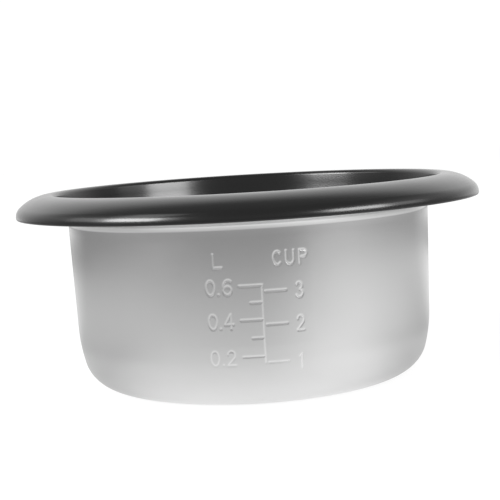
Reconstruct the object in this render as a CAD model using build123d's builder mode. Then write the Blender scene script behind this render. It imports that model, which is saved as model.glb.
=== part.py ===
from build123d import *
import os
from math import cos, radians, sin

os.makedirs("parts", exist_ok=True)

# Driving sizes, in mm and degrees

# Sheet and coating
sheet = 1.2              # drawn aluminium
film = 0.2               # non-stick film, drawn thicker than a real one

# Bowl, on its bare outside
body_radius = 86.0       # wall, where the shoulder starts
shoulder_height = 77.1   # the same place, above the resting face
draft = 1.48             # outward lean of the wall
heel_radius = 75.0       # slow curve under the wall
heel_turn = 13.0
corner_radius = 16.0     # tighter curve into the floor

# Shoulder and collar, on the coated face
shoulder_bend = 4.2
shoulder_rise = 20.0     # slope of the ledge above level
shoulder_run = 2.68      # straight part of the ledge
collar_bend = 1.8
collar_lean = 6.0        # outwards from upright
collar_run = 7.46

# Rim, on the coated face
crest_radius = 2.0
crest_flat = 0.3
rim_reach = 15.47        # end of the flat to the widest point of the lip
rim_drop = 9.4           # top of the crest to the same point
crown_turn = 42.0        # slope where the crown's curve meets the lip's
lip_land = 0.2

# Stamped level scale on the front of the wall
stamp_depth = 0.35
stroke = 1.2
spine_x = 4.1            # upright line between the two scales
long_tick = 9.6
short_tick = 5.1
cup_tick = 8.7
cup_gap = 1.3            # cup ticks stop just short of the upright line
litre_levels = [23.9, 31.8, 39.5, 46.75, 53.9]
cup_levels = [21.05, 37.3, 51.3]

# Sizes that follow from these
wall_slope = 90 - draft
heel_slope = wall_slope - heel_turn
collar_slope = 90 - collar_lean
wall_sin = sin(radians(wall_slope))
wall_cos = cos(radians(wall_slope))
heel_sin = sin(radians(heel_slope))
heel_cos = cos(radians(heel_slope))
heel_height = corner_radius * (1 - heel_cos) + heel_radius * (heel_cos - wall_cos)
wall_run = (shoulder_height - heel_height) / wall_sin
heel_width = corner_radius * heel_sin + heel_radius * (wall_sin - heel_sin)
floor_radius = body_radius - heel_width - wall_run * wall_cos

# The crown and the lip are two arcs that meet at the crown's turn
turn_sin = sin(radians(crown_turn))
turn_cos = cos(radians(crown_turn))
arc_share = turn_sin + turn_cos - 1
crown_radius = (rim_reach * turn_cos - rim_drop * (1 - turn_sin)) / arc_share
lip_radius = (rim_drop * turn_sin - rim_reach * (1 - turn_cos)) / arc_share


# Section of the sheet from the centre of the floor to the foot of the shoulder
def bowl_line(depth):
    floor = Line((0, sheet - depth), (floor_radius, sheet - depth))
    corner = JernArc(floor @ 1, floor % 1, corner_radius - sheet + depth, heel_slope)
    heel = JernArc(corner @ 1, corner % 1, heel_radius - sheet + depth, heel_turn)
    wall = PolarLine(heel @ 1, wall_run, wall_slope)
    return floor, wall


# The same section from the shoulder to the lip
def rim_line(wall, depth):
    foot = JernArc(wall @ 1, wall % 1, shoulder_bend - depth, shoulder_rise - wall_slope)
    ledge = PolarLine(foot @ 1, shoulder_run, shoulder_rise)
    rise = JernArc(ledge @ 1, ledge % 1, collar_bend + depth, collar_slope - shoulder_rise)
    collar = PolarLine(rise @ 1, collar_run, collar_slope)
    crest = JernArc(collar @ 1, collar % 1, crest_radius - depth, -collar_slope)
    flat = PolarLine(crest @ 1, crest_flat, 0)
    crown = JernArc(flat @ 1, flat % 1, crown_radius - depth, -crown_turn)
    lip = JernArc(crown @ 1, crown % 1, lip_radius - depth, crown_turn - 90)
    land = PolarLine(lip @ 1, lip_land, -90)
    return land


# Cutter for the stamped scale: flat strokes limited to the skin of the wall
with BuildPart() as scale_cut:
    with BuildSketch(Plane.XZ.offset(body_radius)):
        with Locations((spine_x, (litre_levels[-1] + cup_levels[0]) / 2)):
            Rectangle(stroke, litre_levels[-1] - cup_levels[0] + stroke)
        with Locations(*[(spine_x - long_tick / 2, level) for level in litre_levels[0::2]]):
            Rectangle(long_tick, stroke)
        with Locations(*[(spine_x - short_tick / 2, level) for level in litre_levels[1::2]]):
            Rectangle(short_tick, stroke)
        with Locations(*[(spine_x + cup_gap + cup_tick / 2, level) for level in cup_levels]):
            Rectangle(cup_tick, stroke)
    extrude(amount=-body_radius / 2)
    with BuildSketch(Plane.XZ):
        with BuildLine():
            skin_floor, skin_wall = bowl_line(sheet - stamp_depth)
            bare_floor, bare_wall = bowl_line(sheet)
            Line(skin_floor @ 0, bare_floor @ 0)
            Line(skin_wall @ 1, bare_wall @ 1)
        make_face()
    revolve(axis=Axis.Z, mode=Mode.INTERSECT)

with BuildPart() as pot_shell:
    with BuildSketch(Plane.XZ):
        with BuildLine():
            coated_floor, coated_wall = bowl_line(0)
            coated_land = rim_line(coated_wall, 0)
            bare_floor, bare_wall = bowl_line(sheet)
            rim_line(bare_wall, sheet)
            JernArc(coated_land @ 1, coated_land % 1, sheet / 2, -180)
            Line(coated_floor @ 0, bare_floor @ 0)
        make_face()
    revolve(axis=Axis.Z)
    add(scale_cut.part, mode=Mode.SUBTRACT)
pot_shell.part.label = "pot_shell"
export_step(pot_shell.part, "parts/pot_shell.step")

with BuildPart() as nonstick_coating:
    with BuildSketch(Plane.XZ):
        with BuildLine():
            top_floor, top_wall = bowl_line(-film)
            top_land = rim_line(top_wall, -film)
            top_edge = JernArc(top_land @ 1, top_land % 1, sheet / 2 + film, -180)
            base_floor, base_wall = bowl_line(0)
            base_land = rim_line(base_wall, 0)
            base_edge = JernArc(base_land @ 1, base_land % 1, sheet / 2, -180)
            Line(top_floor @ 0, base_floor @ 0)
            Line(top_edge @ 1, base_edge @ 1)
        make_face()
    revolve(axis=Axis.Z)
nonstick_coating.part.label = "nonstick_coating"
export_step(nonstick_coating.part, "parts/nonstick_coating.step")
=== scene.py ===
import math

import bpy
from mathutils import Matrix, Vector


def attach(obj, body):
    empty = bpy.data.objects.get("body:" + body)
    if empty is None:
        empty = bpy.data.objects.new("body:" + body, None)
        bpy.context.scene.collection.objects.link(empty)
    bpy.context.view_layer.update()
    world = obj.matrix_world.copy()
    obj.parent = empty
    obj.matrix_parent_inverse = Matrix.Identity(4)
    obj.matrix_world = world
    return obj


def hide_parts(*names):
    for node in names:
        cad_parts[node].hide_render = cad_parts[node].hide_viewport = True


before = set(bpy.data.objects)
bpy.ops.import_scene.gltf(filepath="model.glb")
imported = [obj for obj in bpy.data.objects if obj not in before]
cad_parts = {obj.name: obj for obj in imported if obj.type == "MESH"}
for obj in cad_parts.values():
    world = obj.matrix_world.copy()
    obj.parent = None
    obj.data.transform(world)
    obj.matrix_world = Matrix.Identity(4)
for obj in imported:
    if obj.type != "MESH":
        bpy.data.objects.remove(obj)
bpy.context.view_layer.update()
print("frame loaded:", ", ".join(sorted(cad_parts)))

mm = 0.001
scene = bpy.context.scene
scene.view_settings.view_transform = "Standard"


# camera

photoView = {
    "eye": (0.0, -565.39, 118.46),  # mm, in front of the stamped scale
    "aim": (-0.04, 0.0, 59.75),
    "roll": -3.36,  # degrees
    "lens": 84.354,
    "sensor": 36.0,
    "clipStart": 0.01,  # m
}


def placeCamera(view):
    eye = Vector(view["eye"]) * mm
    forward = (Vector(view["aim"]) * mm - eye).normalized()
    right = forward.cross(Vector((0, 0, 1))).normalized()
    up = right.cross(forward)
    roll = math.radians(view["roll"])
    sideways = right * math.cos(roll) + up * math.sin(roll)
    upwards = up * math.cos(roll) - right * math.sin(roll)
    data = bpy.data.cameras.new("photoCamera")
    data.sensor_fit = "HORIZONTAL"
    data.sensor_width = view["sensor"]
    data.lens = view["lens"]
    data.clip_start = view["clipStart"]
    camera = bpy.data.objects.new("photoCamera", data)
    turn = Matrix((sideways, upwards, -forward)).transposed().to_4x4()
    camera.matrix_world = Matrix.Translation(eye) @ turn
    scene.collection.objects.link(camera)
    scene.camera = camera


placeCamera(photoView)
print("camera placed")


# node helpers

def addNode(tree, kind, inputs=None, **settings):
    node = tree.nodes.new(kind)
    for name, value in settings.items():
        setattr(node, name, value)
    for key, value in (inputs or {}).items():
        if isinstance(value, bpy.types.NodeSocket):
            tree.links.new(value, node.inputs[key])
        else:
            node.inputs[key].default_value = value
    return node


def mathNode(tree, operation, *values, clamp=False):
    node = addNode(tree, "ShaderNodeMath", dict(enumerate(values)), operation=operation)
    node.use_clamp = clamp
    return node.outputs[0]


def mapRange(tree, value, fromMin, fromMax, toMin, toMax, kind="LINEAR"):
    inputs = {"Value": value, "From Min": fromMin, "From Max": fromMax, "To Min": toMin, "To Max": toMax}
    return addNode(tree, "ShaderNodeMapRange", inputs, interpolation_type=kind).outputs["Result"]


# finishes

bumpHeight = 0.1 * mm
noiseSpan = (0.3, 0.7)  # most of a noise texture lies between these


def makeGrainGroup():
    ringRadius = 2.0  # of the circle in the noise that the turned lines follow
    tree = bpy.data.node_groups.new("turnedGrain", "ShaderNodeTree")
    for name in ("Lines per m", "Specks per m", "Clouds per m"):
        tree.interface.new_socket(name, in_out="INPUT", socket_type="NodeSocketFloat")
    for name in ("Lines", "Specks", "Clouds"):
        tree.interface.new_socket(name, in_out="OUTPUT", socket_type="NodeSocketFloat")
    entry = tree.nodes.new("NodeGroupInput").outputs
    finish = tree.nodes.new("NodeGroupOutput").inputs
    place = tree.nodes.new("ShaderNodeTexCoord").outputs["Object"]
    axes = addNode(tree, "ShaderNodeSeparateXYZ", {0: place}).outputs
    flat = addNode(tree, "ShaderNodeCombineXYZ", {"X": axes["X"], "Y": axes["Y"]}).outputs[0]
    radius = addNode(tree, "ShaderNodeVectorMath", {0: flat}, operation="LENGTH").outputs["Value"]
    around = addNode(tree, "ShaderNodeVectorMath", {0: flat}, operation="NORMALIZE").outputs["Vector"]
    aroundAxes = addNode(tree, "ShaderNodeSeparateXYZ", {0: around}).outputs
    ringPlace = addNode(tree, "ShaderNodeCombineXYZ", {
        "X": mathNode(tree, "MULTIPLY", aroundAxes["X"], ringRadius),
        "Y": mathNode(tree, "MULTIPLY", aroundAxes["Y"], ringRadius),
        "Z": mathNode(tree, "MULTIPLY", radius, entry["Lines per m"]),
    }).outputs[0]
    rise = mathNode(tree, "MULTIPLY", axes["Z"], entry["Lines per m"])
    lines = addNode(tree, "ShaderNodeTexNoise", {"Vector": ringPlace, "W": rise, "Scale": 1.0, "Detail": 3.0},
                    noise_dimensions="4D")
    specks = addNode(tree, "ShaderNodeTexNoise",
                     {"Vector": place, "Scale": entry["Specks per m"], "Detail": 2.0})
    clouds = addNode(tree, "ShaderNodeTexNoise",
                     {"Vector": place, "Scale": entry["Clouds per m"], "Detail": 3.0})
    for name, node in (("Lines", lines), ("Specks", specks), ("Clouds", clouds)):
        tree.links.new(node.outputs[0], finish[name])
    return tree


grainGroup = makeGrainGroup()


def mixColour(tree, share, first, second):
    inputs = {"Factor": share, 6: first, 7: second}  # 6 and 7 are its two colours
    return addNode(tree, "ShaderNodeMix", inputs, data_type="RGBA").outputs[2]


def mottledRoughness(tree, look, mottle):
    half = look["roughnessSpread"] / 2
    return mapRange(tree, mottle, *noiseSpan, look["roughness"] - half, look["roughness"] + half)


def startFinish(name, look):
    material = bpy.data.materials.new(name)
    material.use_nodes = True
    tree = material.node_tree
    grain = addNode(tree, "ShaderNodeGroup", look["grain"], node_tree=grainGroup)
    return material, tree, grain.outputs


def fillFinish(tree, look, colour, roughness, height):
    shader = tree.nodes["Principled BSDF"]
    relief = {"Strength": look["bumpStrength"], "Distance": bumpHeight, "Height": height}
    bump = addNode(tree, "ShaderNodeBump", relief)
    tree.links.new(colour, shader.inputs["Base Color"])
    tree.links.new(roughness, shader.inputs["Roughness"])
    tree.links.new(bump.outputs[0], shader.inputs["Normal"])
    return shader


aluminiumLook = {
    "dark": (0.664, 0.664, 0.664, 1.0),
    "light": (0.694, 0.694, 0.694, 1.0),
    "roughness": 0.19,
    "roughnessSpread": 0.03,
    "grain": {"Lines per m": 2600.0, "Specks per m": 3600.0, "Clouds per m": 32.0},
    "cloudShare": 0.7, "lineShare": 0.3,  # of the mottling
    "lineHeight": 0.35,  # where a speck has 1
    "bumpStrength": 0.02,
    "pressedHighlight": (0.79, 0.79, 0.79, 1.0),  # partly painted highlight: the strokes get a brighter metal colour, standing in for light caught on their flanks, and partly a brighter stamped finish
    "pressedRoughness": 0.08,
    "pressedPower": 1.4,  # keeps the painted highlight and the added roughness to the middle of a stroke
}


def makeAluminium(look):
    material, tree, grain = startFinish("bareAluminium", look)
    clouds = mathNode(tree, "MULTIPLY", grain["Clouds"], look["cloudShare"])
    lines = mathNode(tree, "MULTIPLY", grain["Lines"], look["lineShare"])
    mottle = mathNode(tree, "ADD", clouds, lines)
    share = addNode(tree, "ShaderNodeAttribute", attribute_name="pressedShare").outputs["Fac"]
    pressedHighlight = mathNode(tree, "POWER", share, look["pressedPower"])
    # painted highlight: the middles of the strokes are mixed toward a brighter metal colour
    colour = mixColour(tree, pressedHighlight, mixColour(tree, mottle, look["dark"], look["light"]), look["pressedHighlight"])
    rougher = mathNode(tree, "MULTIPLY", pressedHighlight, look["pressedRoughness"])
    roughness = mathNode(tree, "ADD", mottledRoughness(tree, look, mottle), rougher)
    lineHeight = mathNode(tree, "MULTIPLY", grain["Lines"], look["lineHeight"])
    shader = fillFinish(tree, look, colour, roughness, mathNode(tree, "ADD", grain["Specks"], lineHeight))
    shader.inputs["Metallic"].default_value = 1.0
    return material


nonstickLook = {
    "dark": (0.003, 0.003, 0.003, 1.0),
    "light": (0.006, 0.006, 0.006, 1.0),
    "roughness": 0.21,
    "roughnessSpread": 0.04,
    "grain": {"Specks per m": 1500.0, "Clouds per m": 45.0},
    "bumpStrength": 0.05,
    "ior": 1.5,
}


def makeNonstick(look):
    material, tree, grain = startFinish("nonstickBlack", look)
    colour = mixColour(tree, grain["Specks"], look["dark"], look["light"])
    shader = fillFinish(tree, look, colour, mottledRoughness(tree, look, grain["Clouds"]), grain["Specks"])
    shader.inputs["IOR"].default_value = look["ior"]
    return material


aluminium = makeAluminium(aluminiumLook)
nonstick = makeNonstick(nonstickLook)
print("finishes made")


# stamped scale, drawn flat: mm around the wall from its front, and mm above the table

stampedScale = {
    "figureHeight": 6.1,
    "figureDrop": 0.4,  # figures sit a little under their ticks
    "spine": 4.1,
    "longTick": 9.6,
    "shortTick": 5.1,
    "cupTick": 8.7,
    "cupGap": 1.3,  # cup ticks stop just short of the spine
    "litreLevels": (23.9, 31.8, 39.5, 46.75, 53.9),
    "cupLevels": (21.05, 37.3, 51.3),
    "litreFigures": (  # beside every other litre tick, downwards: figure, left edge, width
        (("0", -19.5, 3.5), (".", -14.8, 1.0), ("6", -12.3, 3.5)),
        (("0", -19.3, 3.5), (".", -14.7, 1.0), ("4", -12.3, 3.5)),
        (("0", -19.4, 3.5), (".", -14.6, 1.0), ("2", -12.2, 3.4)),
    ),
    "cupFigures": ((("3", 18.5, 2.9),), (("2", 18.4, 2.9),), (("1", 18.4, 2.9),)),
    "letterHeight": 5.55,
    "letterLevel": 64.65,
    "letters": (("L", -15.9, 3.5), ("C", 9.4, 3.3), ("U", 14.8, 3.2), ("P", 20.5, 3.1)),
}

# strokes in a cell one wide and one high: a pair is a point, six numbers are part of an oval
# (centre across, centre up, half width, half height, first angle, last angle)
figureStrokes = {
    "0": [[(0.5, 0.5, 0.5, 0.5, 90, 450)]],
    "1": [[(0.2, 0.82), (0.5, 1.0), (0.5, 0.0)]],
    "2": [[(0.5, 0.7, 0.46, 0.3, 165, -35), (0.0, 0.0), (1.0, 0.0)]],
    "3": [[(0.46, 0.755, 0.42, 0.245, 150, -75)], [(0.46, 0.265, 0.5, 0.265, 75, -150)]],
    "4": [[(0.72, 0.0), (0.72, 1.0), (0.0, 0.3), (1.0, 0.3)]],
    "6": [[(0.62, 0.5, 0.58, 0.5, 55, 185)], [(0.5, 0.29, 0.47, 0.29, 180, 540)]],
    ".": [[(0.45, 0.03), (0.55, 0.03)]],
    "L": [[(0.0, 1.0), (0.0, 0.0), (1.0, 0.0)]],
    "C": [[(0.5, 0.5, 0.5, 0.5, 48, 312)]],
    "U": [[(0.0, 1.0), (0.5, 0.33, 0.5, 0.33, 180, 360), (1.0, 1.0)]],
    "P": [[(0.0, 0.0), (0.0, 1.0), (0.55, 0.745, 0.45, 0.255, 90, -90), (0.0, 0.49)]],
}


def drawStroke(stroke, left, low, width, height):
    ovalStep = 12.0  # degrees
    points = []
    for item in stroke:
        if len(item) == 2:
            points.append((left + item[0] * width, low + item[1] * height))
            continue
        across, up, halfWidth, halfHeight, first, last = item
        count = max(3, round(abs(last - first) / ovalStep))
        for i in range(count + 1):
            angle = math.radians(first + (last - first) * i / count)
            points.append((left + (across + halfWidth * math.cos(angle)) * width,
                           low + (up + halfHeight * math.sin(angle)) * height))
    return points


def drawScale(scale):
    spine, litres, cups = scale["spine"], scale["litreLevels"], scale["cupLevels"]
    lines = [[(spine, litres[-1]), (spine, cups[0])]]
    for i, level in enumerate(litres):
        length = scale["shortTick"] if i % 2 else scale["longTick"]
        lines.append([(spine - length, level), (spine, level)])
    for level in cups:
        start = spine + scale["cupGap"]
        lines.append([(start, level), (start + scale["cupTick"], level)])
    rows = [(level - scale["figureDrop"], scale["figureHeight"], words)
            for levels, figures in ((litres[::-2], scale["litreFigures"]), (cups[::-1], scale["cupFigures"]))
            for level, words in zip(levels, figures)]
    rows.append((scale["letterLevel"], scale["letterHeight"], scale["letters"]))
    for middle, height, words in rows:
        for word, left, width in words:
            for stroke in figureStrokes[word]:
                lines.append(drawStroke(stroke, left, middle - height / 2, width, height))
    return lines


def makeStrokes(lines):
    points = []
    edges = []
    for line in lines:
        edges += [(len(points) + i, len(points) + i + 1) for i in range(len(line) - 1)]
        points += [(across * mm, 0.0, up * mm) for across, up in line]
    mesh = bpy.data.meshes.new("scaleStrokes")
    mesh.from_pydata(points, edges, [])
    return bpy.data.objects.new("scaleStrokes", mesh)


scaleStrokes = makeStrokes(drawScale(stampedScale))
scene.collection.objects.link(scaleStrokes)
print("scale drawn:", len(scaleStrokes.data.edges), "edges")


# section of the pot, the same sizes as the solids, mm and degrees

potSizes = {
    "sheet": 1.2, "film": 0.2,
    "bodyRadius": 86.0, "shoulderHeight": 77.1, "draft": 1.48,
    "heelRadius": 75.0, "heelTurn": 13.0, "cornerRadius": 16.0,
    "shoulderBend": 4.2, "shoulderRise": 20.0, "shoulderRun": 2.68,
    "collarBend": 1.8, "collarLean": 6.0, "collarRun": 7.46,
    "crestRadius": 2.0, "crestFlat": 0.3,
    "rimReach": 15.47, "rimDrop": 9.4, "crownTurn": 42.0, "lipLand": 0.2,
}


def sectionMoves(size, depth, edgeRadius, pitch):
    wallSlope = 90 - size["draft"]
    heelSlope = wallSlope - size["heelTurn"]
    collarSlope = 90 - size["collarLean"]
    wallSin, wallCos = math.sin(math.radians(wallSlope)), math.cos(math.radians(wallSlope))
    heelSin, heelCos = math.sin(math.radians(heelSlope)), math.cos(math.radians(heelSlope))
    corner, heel, sheet = size["cornerRadius"], size["heelRadius"], size["sheet"]
    heelHeight = corner * (1 - heelCos) + heel * (heelCos - wallCos)
    wallRun = (size["shoulderHeight"] - heelHeight) / wallSin
    heelWidth = corner * heelSin + heel * (wallSin - heelSin)
    floorRadius = size["bodyRadius"] - heelWidth - wallRun * wallCos
    turn = math.radians(size["crownTurn"])
    share = math.sin(turn) + math.cos(turn) - 1
    crown = (size["rimReach"] * math.cos(turn) - size["rimDrop"] * (1 - math.sin(turn))) / share
    lip = (size["rimDrop"] * math.sin(turn) - size["rimReach"] * (1 - math.cos(turn))) / share
    lowHeel = 3.6  # degrees of heel below the lowest figure
    stampedWall = 40.0  # mm of straight wall, up past the letters
    heelRun = heel * math.radians(size["heelTurn"] - lowHeel)
    fine = pitch > 0
    heelSteps, wallSteps = (6, 5) if fine else (3, 3)
    heelRows = heelSteps * (round(heelRun / pitch / heelSteps) if fine else 1)
    wallRows = wallSteps * (round(stampedWall / pitch / wallSteps) if fine else 1)
    bend = 3 if fine else 2
    moves = [  # length or radius, degrees turned, rows, rows left where nothing is stamped
        (floorRadius, 0, 8 if fine else 4, 0),
        (corner - sheet + depth, heelSlope, 6 * bend, 0),
        (heel - sheet + depth, lowHeel, 4 if fine else 2, 0),
        (heel - sheet + depth, size["heelTurn"] - lowHeel, heelRows, heelSteps if fine else 0),
        (stampedWall, 0, wallRows, wallSteps if fine else 0),
        (wallRun - stampedWall, 0, 3, 0),
        (size["shoulderBend"] - depth, size["shoulderRise"] - wallSlope, 4 * bend, 0),
        (size["shoulderRun"], 0, 1, 0),
        (size["collarBend"] + depth, collarSlope - size["shoulderRise"], 4 * bend, 0),
        (size["collarRun"], 0, 2, 0),
        (size["crestRadius"] - depth, -collarSlope, 5 * bend, 0),
        (size["crestFlat"], 0, 2, 0),
        (crown - depth, -size["crownTurn"], 6 * bend, 0),
        (lip - depth, size["crownTurn"] - 90, 6 * bend, 0),
        (size["lipLand"], 0, 1, 0),
    ]
    if edgeRadius:
        moves.append((edgeRadius, -180, 6 * bend, 0))
    return moves


def walkSection(size, depth, edgeRadius=0.0, pitch=0.0):
    out, up, heading = 0.0, size["sheet"] - depth, 0.0
    rows = [(out, up, 0, 0)]
    for length, degrees, count, steps in sectionMoves(size, depth, edgeRadius, pitch):
        startOut, startUp, startHeading = out, up, heading
        turn = math.radians(degrees)
        side = math.copysign(1.0, turn)
        for i in range(1, count + 1):
            part = i / count
            if degrees:
                heading = startHeading + turn * part
                out = startOut + side * length * (math.sin(heading) - math.sin(startHeading))
                up = startUp + side * length * (math.cos(startHeading) - math.cos(heading))
            else:
                out = startOut + length * part * math.cos(heading)
                up = startUp + length * part * math.sin(heading)
            skipped = i % (count // steps) if steps else 0
            rows.append((out, up, min(steps, 1), skipped))  # out, up, stamped, rows to skip
    return rows


def backwards(rows):
    return [(out, up, stamped, -skipped) for out, up, stamped, skipped in reversed(rows)]


def makeSection(name, rows):
    mesh = bpy.data.meshes.new(name)
    points = [(out * mm, 0.0, up * mm) for out, up, stamped, skipped in rows]
    mesh.from_pydata(points, [(i, i + 1) for i in range(len(points) - 1)], [])
    stampRow = mesh.attributes.new("stampRow", "FLOAT", "POINT")
    skipRows = mesh.attributes.new("skipRows", "FLOAT", "POINT")
    for i, (out, up, stamped, skipped) in enumerate(rows):
        stampRow.data[i].value = stamped
        skipRows.data[i].value = skipped
    piece = bpy.data.objects.new(name, mesh)
    scene.collection.objects.link(piece)
    return piece


# turning: the section goes round the axis, and the strokes press the wall inwards

def makeTurningTree():
    evenReach, lightReach = 6.0 * mm, 24.0 * mm  # the press lightens between these, from the middle
    mergeReach = 0.002 * mm
    tree = bpy.data.node_groups.new("turnedSheet", "GeometryNodeTree")
    face = tree.interface
    face.new_socket("Section", in_out="INPUT", socket_type="NodeSocketGeometry")
    face.new_socket("Strokes", in_out="INPUT", socket_type="NodeSocketObject")
    for name in ("Fine Columns", "Coarse Columns", "Columns per Step"):
        face.new_socket(name, in_out="INPUT", socket_type="NodeSocketInt")
    for name in ("Window From", "Window To", "Wall Radius", "Stamp Width", "Stamp Depth", "Lower Flank",
                 "Side Press"):
        face.new_socket(name, in_out="INPUT", socket_type="NodeSocketFloat")
    face.new_socket("Finish", in_out="INPUT", socket_type="NodeSocketMaterial")
    face.new_socket("Turned", in_out="OUTPUT", socket_type="NodeSocketGeometry")
    entry = tree.nodes.new("NodeGroupInput").outputs
    finish = tree.nodes.new("NodeGroupOutput").inputs

    counts = addNode(tree, "GeometryNodeAttributeDomainSize", {"Geometry": entry["Section"]}).outputs
    rows = counts["Point Count"]
    allColumns = mathNode(tree, "ADD", entry["Fine Columns"], entry["Coarse Columns"])
    grid = addNode(tree, "GeometryNodeMeshGrid", {
        "Vertices X": mathNode(tree, "ADD", allColumns, 1.0), "Vertices Y": rows}).outputs["Mesh"]
    index = tree.nodes.new("GeometryNodeInputIndex").outputs[0]
    column = mathNode(tree, "FLOOR", mathNode(tree, "DIVIDE", mathNode(tree, "ADD", index, 0.5), rows))
    row = mathNode(tree, "SUBTRACT", index, mathNode(tree, "MULTIPLY", column, rows))

    def fromRow(name):  # value of the section's own row
        value = addNode(tree, "GeometryNodeInputNamedAttribute", {"Name": name}, data_type="FLOAT")
        sample = {"Geometry": entry["Section"], "Index": row, "Value": value.outputs["Attribute"]}
        return addNode(tree, "GeometryNodeSampleIndex", sample, data_type="FLOAT").outputs["Value"]

    # rows and columns are close together only where both meet in the stamped window
    stamped = fromRow("stampRow")
    outside = mathNode(tree, "MULTIPLY", mathNode(tree, "GREATER_THAN", column, entry["Fine Columns"]),
                       mathNode(tree, "LESS_THAN", column, allColumns))
    keptRow = mathNode(tree, "SUBTRACT", row, mathNode(tree, "MULTIPLY", outside, fromRow("skipRows")))
    plain = mathNode(tree, "MULTIPLY", mathNode(tree, "LESS_THAN", column, entry["Fine Columns"]),
                     mathNode(tree, "SUBTRACT", 1.0, stamped))
    skipColumns = mathNode(tree, "MODULO", column, entry["Columns per Step"])
    keptColumn = mathNode(tree, "SUBTRACT", column, mathNode(tree, "MULTIPLY", plain, skipColumns))

    fromAngle = mathNode(tree, "DIVIDE", entry["Window From"], entry["Wall Radius"])
    toAngle = mathNode(tree, "DIVIDE", entry["Window To"], entry["Wall Radius"])
    rest = mathNode(tree, "SUBTRACT", 2 * math.pi, mathNode(tree, "SUBTRACT", toAngle, fromAngle))
    inWindow = mapRange(tree, keptColumn, 0.0, entry["Fine Columns"], fromAngle, toAngle)
    beyond = mapRange(tree, keptColumn, entry["Fine Columns"], allColumns, 0.0, rest)
    angle = mathNode(tree, "ADD", inWindow, beyond)

    sectionPlace = addNode(tree, "GeometryNodeSampleIndex", {"Geometry": entry["Section"], "Index": keptRow},
                           data_type="FLOAT_VECTOR")
    tree.links.new(tree.nodes.new("GeometryNodeInputPosition").outputs[0], sectionPlace.inputs["Value"])
    place = addNode(tree, "ShaderNodeSeparateXYZ", {0: sectionPlace.outputs["Value"]}).outputs

    strokes = addNode(tree, "GeometryNodeObjectInfo", {"Object": entry["Strokes"]}).outputs["Geometry"]
    acrossWall = mathNode(tree, "MULTIPLY", angle, entry["Wall Radius"])
    unrolled = addNode(tree, "ShaderNodeCombineXYZ", {"X": acrossWall, "Z": place["Z"]}).outputs[0]
    nearest = addNode(tree, "GeometryNodeProximity", {"Geometry": strokes, "Sample Position": unrolled},
                      target_element="EDGES").outputs["Position"]
    offset = addNode(tree, "ShaderNodeVectorMath", {0: unrolled, 1: nearest}, operation="SUBTRACT")
    offsetAxes = addNode(tree, "ShaderNodeSeparateXYZ", {0: offset.outputs["Vector"]}).outputs
    below = mathNode(tree, "DIVIDE", mathNode(tree, "MINIMUM", offsetAxes["Z"], 0.0), entry["Lower Flank"])
    height = mathNode(tree, "ADD", mathNode(tree, "MAXIMUM", offsetAxes["Z"], 0.0), below)
    evened = addNode(tree, "ShaderNodeCombineXYZ", {"X": offsetAxes["X"], "Z": height}).outputs[0]
    away = addNode(tree, "ShaderNodeVectorMath", {0: evened}, operation="LENGTH").outputs["Value"]
    halfWidth = mathNode(tree, "DIVIDE", entry["Stamp Width"], 2.0)
    fromMiddle = mathNode(tree, "ABSOLUTE", acrossWall)
    lighter = mapRange(tree, fromMiddle, evenReach, lightReach, 1.0, entry["Side Press"])
    deepest = mathNode(tree, "MULTIPLY", entry["Stamp Depth"], lighter)
    share = mathNode(tree, "MULTIPLY", mapRange(tree, away, 0.0, halfWidth, 1.0, 0.0, "SMOOTHSTEP"), stamped)
    radius = mathNode(tree, "SUBTRACT", place["X"], mathNode(tree, "MULTIPLY", deepest, share))
    toBack = mathNode(tree, "MULTIPLY", mathNode(tree, "COSINE", angle), -1.0)
    turned = addNode(tree, "ShaderNodeCombineXYZ", {
        "X": mathNode(tree, "MULTIPLY", radius, mathNode(tree, "SINE", angle)),
        "Y": mathNode(tree, "MULTIPLY", radius, toBack),
        "Z": place["Z"]}).outputs[0]
    note = {"Geometry": grid, "Name": "pressedShare", "Value": share}
    noted = addNode(tree, "GeometryNodeStoreNamedAttribute", note, data_type="FLOAT", domain="POINT").outputs[0]
    wrapped = addNode(tree, "GeometryNodeSetPosition", {"Geometry": noted, "Position": turned}).outputs[0]
    merge = {"Geometry": wrapped, "Distance": mergeReach}
    closed = addNode(tree, "GeometryNodeMergeByDistance", merge).outputs[0]
    smooth = addNode(tree, "GeometryNodeSetShadeSmooth", {"Geometry": closed}).outputs[0]
    whole = addNode(tree, "GeometryNodeRealizeInstances", {"Geometry": smooth}).outputs[0]
    cover = {"Geometry": whole, "Material": entry["Finish"]}
    covered = addNode(tree, "GeometryNodeSetMaterial", cover).outputs[0]
    tree.links.new(covered, finish["Turned"])
    return tree


sharpAngle = math.radians(50)
turningTree = makeTurningTree()
socketIds = {item.name: item.identifier for item in turningTree.interface.items_tree if item.in_out == "INPUT"}


def turnPiece(piece, values):
    modifier = piece.modifiers.new("turning", "NODES")
    modifier.node_group = turningTree
    for name, value in values.items():
        modifier[socketIds[name]] = value
    bpy.context.view_layer.update()
    shown = piece.evaluated_get(bpy.context.evaluated_depsgraph_get())
    mesh = bpy.data.meshes.new_from_object(shown)
    mesh.name = piece.name
    piece.modifiers.clear()
    piece.data = mesh
    mesh.set_sharp_from_angle(angle=sharpAngle)
    mesh.calc_loop_triangles()
    print(piece.name, len(mesh.loop_triangles), "triangles")


def dressPiece(piece, node):
    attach(piece, "root")
    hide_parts(node)


shellTurning = {
    "Strokes": scaleStrokes,
    "Fine Columns": 240, "Coarse Columns": 104, "Columns per Step": 8,
    "Window From": -21.6 * mm, "Window To": 25.2 * mm,
    "Wall Radius": potSizes["bodyRadius"] * mm,
    "Stamp Width": 1.5 * mm, "Stamp Depth": 0.145 * mm,
    "Lower Flank": 1.5,  # the lower side of a stroke is this much wider
    "Side Press": 0.55,  # a flat stamp goes in less deep at its sides
    "Finish": aluminium,
}
coatingTurning = dict(shellTurning)
coatingTurning.update({
    "Fine Columns": 160,
    "Stamp Width": 1.8 * mm, "Stamp Depth": 0.13 * mm,
    "Finish": nonstick,
})

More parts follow.
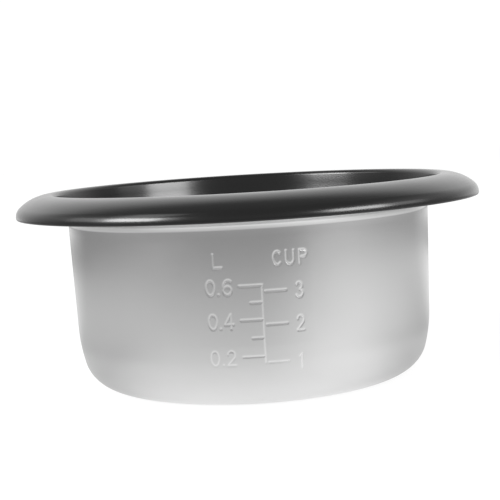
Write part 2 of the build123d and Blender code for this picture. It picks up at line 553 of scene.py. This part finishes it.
sheet, film = potSizes["sheet"], potSizes["film"]
bareRows = walkSection(potSizes, sheet, pitch=0.2)
coatedRows = walkSection(potSizes, 0.0, sheet / 2)
potShell = makeSection("potShell", bareRows + backwards(coatedRows[:-1]))
turnPiece(potShell, shellTurning)
dressPiece(potShell, "pot_shell")

topRows = walkSection(potSizes, -film, sheet / 2 + film, pitch=0.3)
nonstickCoating = makeSection("nonstickCoating", coatedRows + backwards(topRows))
turnPiece(nonstickCoating, coatingTurning)
dressPiece(nonstickCoating, "nonstick_coating")

bpy.data.objects.remove(scaleStrokes)
print("pot turned")


# floor and light

# the pool is painted reflection: floor glow seen only by glossy and transmission rays, laid out by distance and
# side to lighten and darken the metal wall
# a range is from, to, and the values there; facing is 1 in front and -1 behind, away is in m
floorLook = {
    "size": 8.0,
    "drop": 0.05 * mm,
    "colour": (0.21, 0.21, 0.21, 1.0),
    "roughness": 0.9,
    "cameraGlow": 0.85,  # seen by the camera only
    "pool": [(0.075, 0.84), (0.10, 0.70), (0.138, 0.55), (0.18, 0.52), (0.22, 0.46), (0.30, 0.35), (0.36, 0.30),
             (0.42, 0.22), (0.48, 0.13), (0.57, 0.03)],  # m away, glow seen in shiny surfaces
    "closeShare": (0.25, 0.85, 0.67, 1.0),  # of the pool by facing, close to the pot
    "farShare": (0.3, 0.9, 1.17, 0.95),
    "beyondShare": (0.2, 0.8, 1.5, 0.8),
    "closeToFar": (0.13, 0.33),  # away
    "farToBeyond": (0.34, 0.46),
    "edgeShare": (0.6, 0.95, 0.72, 1.0),  # by facing, right beside the pot
    "edgeReach": (0.075, 0.11),
    "rightGlow": 0.255,  # more on the right
    "rightStart": (0.36, 0.58, -0.05, 0.4),  # by away, how far to the right it starts
    "rightFull": 0.85,
    "rightFade": (0.5, 0.62, 1.15, 0.45),
    "rightWide": (-0.3, 0.5, 0.25, 1.0),  # by facing
    "rightWideReach": (0.3, 0.5),
    "rightClose": (0.5, 0.9, 0.6, 1.0),  # by facing
    "rightCloseReach": (0.1, 0.25),
    "rightFoot": (0.08, 0.12, 0.4, 1.0),
    "behindGlow": (0.7, 1.2, 0.22, 0.9),  # by away, out to the backdrop
    "behindSpan": (-0.5, -0.85),  # facing
}


def makePool(tree, look):
    place = tree.nodes.new("ShaderNodeTexCoord").outputs["Object"]
    axes = addNode(tree, "ShaderNodeSeparateXYZ", {0: place}).outputs
    away = addNode(tree, "ShaderNodeVectorMath", {0: place}, operation="LENGTH").outputs["Value"]
    aside = mathNode(tree, "DIVIDE", axes["X"], away)
    facing = mathNode(tree, "DIVIDE", axes["Y"], mathNode(tree, "MULTIPLY", away, -1.0))

    reach = look["pool"][-1][0]
    ramp = addNode(tree, "ShaderNodeValToRGB", {"Fac": mathNode(tree, "DIVIDE", away, reach)})
    stops = ramp.color_ramp.elements
    for i, (distance, glow) in enumerate(look["pool"]):
        stop = stops[i] if i < 2 else stops.new(1.0)  # a ramp starts with two
        stop.position = distance / reach
        stop.color = (glow, glow, glow, 1.0)
    closeShare = mapRange(tree, facing, *look["closeShare"], "SMOOTHSTEP")
    farShare = mapRange(tree, facing, *look["farShare"], "SMOOTHSTEP")
    beyondShare = mapRange(tree, facing, *look["beyondShare"], "SMOOTHSTEP")
    outer = mapRange(tree, away, *look["farToBeyond"], farShare, beyondShare)
    share = mapRange(tree, away, *look["closeToFar"], closeShare, outer, "SMOOTHSTEP")
    edge = mapRange(tree, away, *look["edgeReach"], mapRange(tree, facing, *look["edgeShare"]), 1.0)
    front = mathNode(tree, "MULTIPLY", ramp.outputs["Color"], mathNode(tree, "MULTIPLY", share, edge))

    start = mapRange(tree, away, *look["rightStart"])
    right = mapRange(tree, aside, start, look["rightFull"], 0.0, look["rightGlow"], "SMOOTHSTEP")
    right = mathNode(tree, "MULTIPLY", right, mapRange(tree, away, *look["rightFade"]))
    wide = mapRange(tree, away, *look["rightWideReach"], mapRange(tree, facing, *look["rightWide"]), 1.0)
    close = mapRange(tree, away, *look["rightCloseReach"], mapRange(tree, facing, *look["rightClose"]), 1.0)
    close = mathNode(tree, "MULTIPLY", close, mapRange(tree, away, *look["rightFoot"]))
    right = mathNode(tree, "MULTIPLY", right, mathNode(tree, "MULTIPLY", wide, close))

    behind = mapRange(tree, facing, *look["behindSpan"], 0.0, mapRange(tree, away, *look["behindGlow"]))
    return mathNode(tree, "ADD", mathNode(tree, "ADD", front, behind), right)


def makeFloor(look):
    half = look["size"] / 2
    mesh = bpy.data.meshes.new("studioFloor")
    corners = [(-half, -half), (half, -half), (half, half), (-half, half)]
    mesh.from_pydata([(x, y, -look["drop"]) for x, y in corners], [], [(0, 1, 2, 3)])
    floor = bpy.data.objects.new("studioFloor", mesh)
    scene.collection.objects.link(floor)
    material = bpy.data.materials.new("paleFloor")
    material.use_nodes = True
    tree = material.node_tree
    shader = tree.nodes["Principled BSDF"]
    shader.inputs["Base Color"].default_value = look["colour"]
    shader.inputs["Roughness"].default_value = look["roughness"]
    shader.inputs["Specular IOR Level"].default_value = 0.0
    shader.inputs["Emission Color"].default_value = (1, 1, 1, 1)
    rays = tree.nodes.new("ShaderNodeLightPath").outputs
    shiny = mathNode(tree, "ADD", rays["Is Glossy Ray"], rays["Is Transmission Ray"], clamp=True)
    # painted reflection: the pool glows only in shiny surfaces
    inShiny = mathNode(tree, "MULTIPLY", shiny, makePool(tree, look))
    inCamera = mathNode(tree, "MULTIPLY", rays["Is Camera Ray"], look["cameraGlow"])
    tree.links.new(mathNode(tree, "ADD", inShiny, inCamera), shader.inputs["Emission Strength"])
    mesh.materials.append(material)


skyLook = {
    "front": 0.37,
    "sides": (0.6, 0.9, 0.0, 0.42),  # more at both sides
    "back": (0.05, 0.45, 0.88, 1.33),  # by height
    "horizon": (0.02, 0.22, 0.27, 0.0),  # more again low down behind, mostly on the right
    "frontToBack": (0.3, 0.7),
    "lowFront": (-0.8, -0.2, 0.12, 0.0),  # more low down in front
    "lowFrontFade": (0.15, 0.6, 1.0, 0.0),  # by height
    "lowSides": (0.05, 0.4, 0.5, 0.0),  # how much darker the sides are near the floor
    "lowSidesPower": 4.0,
}


def makeWorld(look):
    world = bpy.data.worlds.new("studioWorld")
    scene.world = world
    world.use_nodes = True
    tree = world.node_tree
    background = tree.nodes["Background"]
    place = tree.nodes.new("ShaderNodeTexCoord").outputs["Generated"]
    axes = addNode(tree, "ShaderNodeSeparateXYZ", {0: place}).outputs
    aside = mathNode(tree, "ABSOLUTE", axes["X"])
    sides = mapRange(tree, aside, *look["sides"], "SMOOTHSTEP")
    front = mathNode(tree, "ADD", sides, look["front"])
    horizon = mapRange(tree, axes["Z"], *look["horizon"])
    horizon = mathNode(tree, "MULTIPLY", horizon, mathNode(tree, "ADD", axes["X"], 1.0))
    back = mathNode(tree, "ADD", mapRange(tree, axes["Z"], *look["back"]), horizon)
    glow = mapRange(tree, axes["Y"], *look["frontToBack"], front, back, "SMOOTHSTEP")
    lowFront = mapRange(tree, axes["Y"], *look["lowFront"], "SMOOTHSTEP")
    lowFront = mathNode(tree, "MULTIPLY", lowFront, mapRange(tree, axes["Z"], *look["lowFrontFade"]))
    glow = mathNode(tree, "ADD", glow, lowFront)
    lowSides = mapRange(tree, axes["Z"], *look["lowSides"], "SMOOTHSTEP")
    lowSides = mathNode(tree, "MULTIPLY", lowSides, mathNode(tree, "POWER", aside, look["lowSidesPower"]))
    glow = mathNode(tree, "MULTIPLY", glow, mathNode(tree, "SUBTRACT", 1.0, lowSides))
    camera = tree.nodes.new("ShaderNodeLightPath").outputs["Is Camera Ray"]
    background.inputs["Color"].default_value = (1, 1, 1, 1)
    tree.links.new(mathNode(tree, "MAXIMUM", glow, camera), background.inputs["Strength"])


lampLook = {
    "aim": (0.0, 0.0, 0.085),
    "lamps": [  # name, degrees round from the front, degrees up, distance, width, height, radiance
        ("leftLamp", -57.5, 22.3, 4.0, 1.9, 1.36, 17.5),
        ("leftTopLamp", -62.0, 46.0, 4.0, 1.50, 1.73, 2.5),
        ("leftWideLamp", -66.0, 24.0, 4.05, 4.40, 1.60, 1.5),
        ("rightLamp", 53.5, 15.0, 4.0, 2.0, 1.2, 11.8),
        ("rightWideLamp", 62.0, 17.0, 4.05, 4.4, 1.2, 1.8),
    ],
}


def makeLamps(look):
    for name, around, up, distance, width, height, radiance in look["lamps"]:
        data = bpy.data.lights.new(name, "AREA")
        data.shape = "RECTANGLE"
        data.size = width
        data.size_y = height
        data.energy = radiance * math.pi * width * height
        lamp = bpy.data.objects.new(name, data)
        around, up = math.radians(around), math.radians(up)
        toLamp = Vector((math.sin(around) * math.cos(up), -math.cos(around) * math.cos(up), math.sin(up)))
        lamp.location = toLamp * distance + Vector(look["aim"])
        lamp.rotation_euler = (-toLamp).to_track_quat("-Z", "Y").to_euler()
        scene.collection.objects.link(lamp)


makeFloor(floorLook)
makeWorld(skyLook)
makeLamps(lampLook)
print("studio lit")
